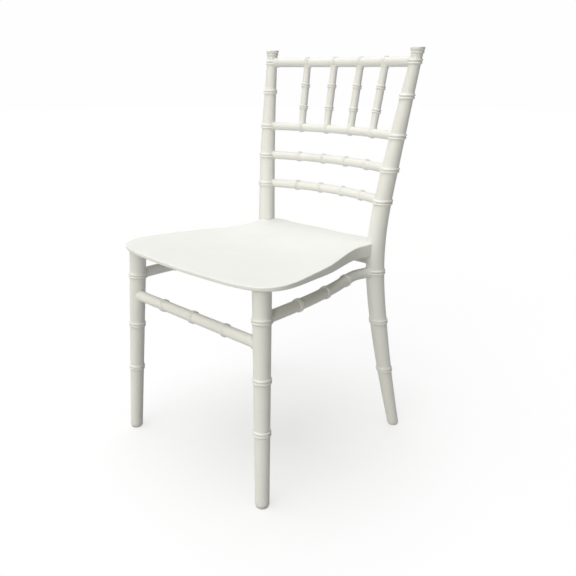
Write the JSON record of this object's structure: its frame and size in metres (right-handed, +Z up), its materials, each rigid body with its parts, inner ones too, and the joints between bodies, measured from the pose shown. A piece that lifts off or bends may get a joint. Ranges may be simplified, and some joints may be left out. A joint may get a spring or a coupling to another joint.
{
  "type": "chiavari chair",
  "caption": "Armless moulded-resin chiavari chair with turned-look rings, a bowed rail-and-spindle back, a thin saddle seat and splayed legs.",
  "frame": {"origin": "on the floor, under the middle of the whole chair's bounding box", "axes": "+Z up, the chair faces -Y, +X on the sitter's left"},
  "size_m": [0.4996, 0.5595, 0.899],
  "materials": {
    "resin": "matt moulded off-white resin",
    "glide": "hard off-white glide",
    "screw": "zinc-plated steel"
  },
  "bodies": {
    "root": {"seat_shell": "resin", "rear_seat_rail": "resin", "rear_post_left": "resin", "rear_post_right": "resin", "front_leg_left": "resin", "front_leg_right": "resin", "crest_rail": "resin", "spindle_rail": "resin", "upper_back_rail": "resin", "lower_back_rail": "resin", "back_spindle_1": "resin", "back_spindle_2": "resin", "back_spindle_3": "resin", "back_spindle_4": "resin", "front_stretcher": "resin", "side_stretcher_left": "resin", "side_stretcher_right": "resin", "foot_glide_front_left": "glide", "foot_glide_front_right": "glide", "foot_glide_rear_left": "glide", "foot_glide_rear_right": "glide", "seat_screws_front": "screw", "seat_screws_rear": "screw"}
  },
  "joints": []
}
